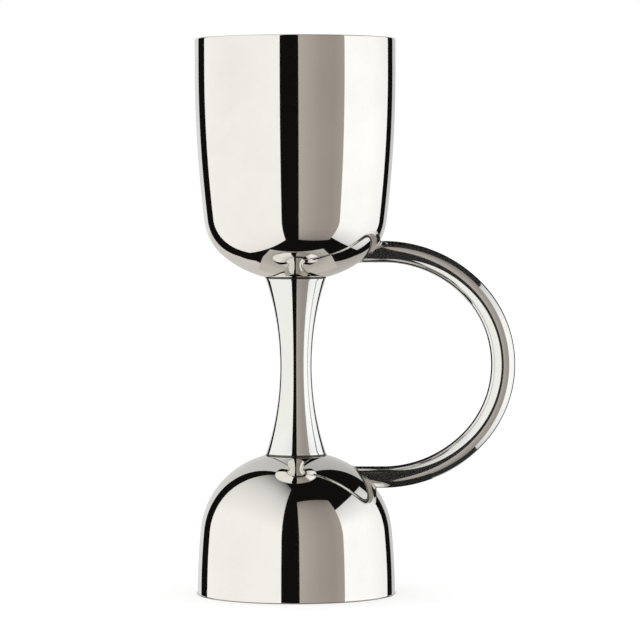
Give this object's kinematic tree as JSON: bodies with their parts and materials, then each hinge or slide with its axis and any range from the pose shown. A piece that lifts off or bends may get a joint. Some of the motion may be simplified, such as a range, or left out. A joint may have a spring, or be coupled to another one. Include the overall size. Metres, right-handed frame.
{
  "type": "bar jigger",
  "caption": "Polished double-ended bar jigger: a tall measuring cup over a short inverted one, joined by a waisted stem and a bent ring handle.",
  "frame": {"origin": "cup axis on the plane of the lower cup's rim", "axes": "+Z along the cup axis from the lower, smaller cup to the upper one; +X from the axis towards the ring handle; the handle lies in the XZ plane"},
  "size_m": [0.069, 0.0432, 0.12],
  "materials": {
    "cup_steel": "mirror polished sheet steel",
    "bar_steel": "mirror polished bar",
    "stud_steel": "plain machined",
    "braze": "dressed silver braze, satin"
  },
  "bodies": {
    "root": {"upper_cup": "cup_steel", "lower_cup": "cup_steel", "stem": "bar_steel", "ring_handle": "bar_steel", "upper_weld_stud": "stud_steel", "lower_weld_stud": "stud_steel", "upper_stem_braze": "braze", "lower_stem_braze": "braze", "upper_handle_braze": "braze", "lower_handle_braze": "braze"}
  },
  "joints": []
}
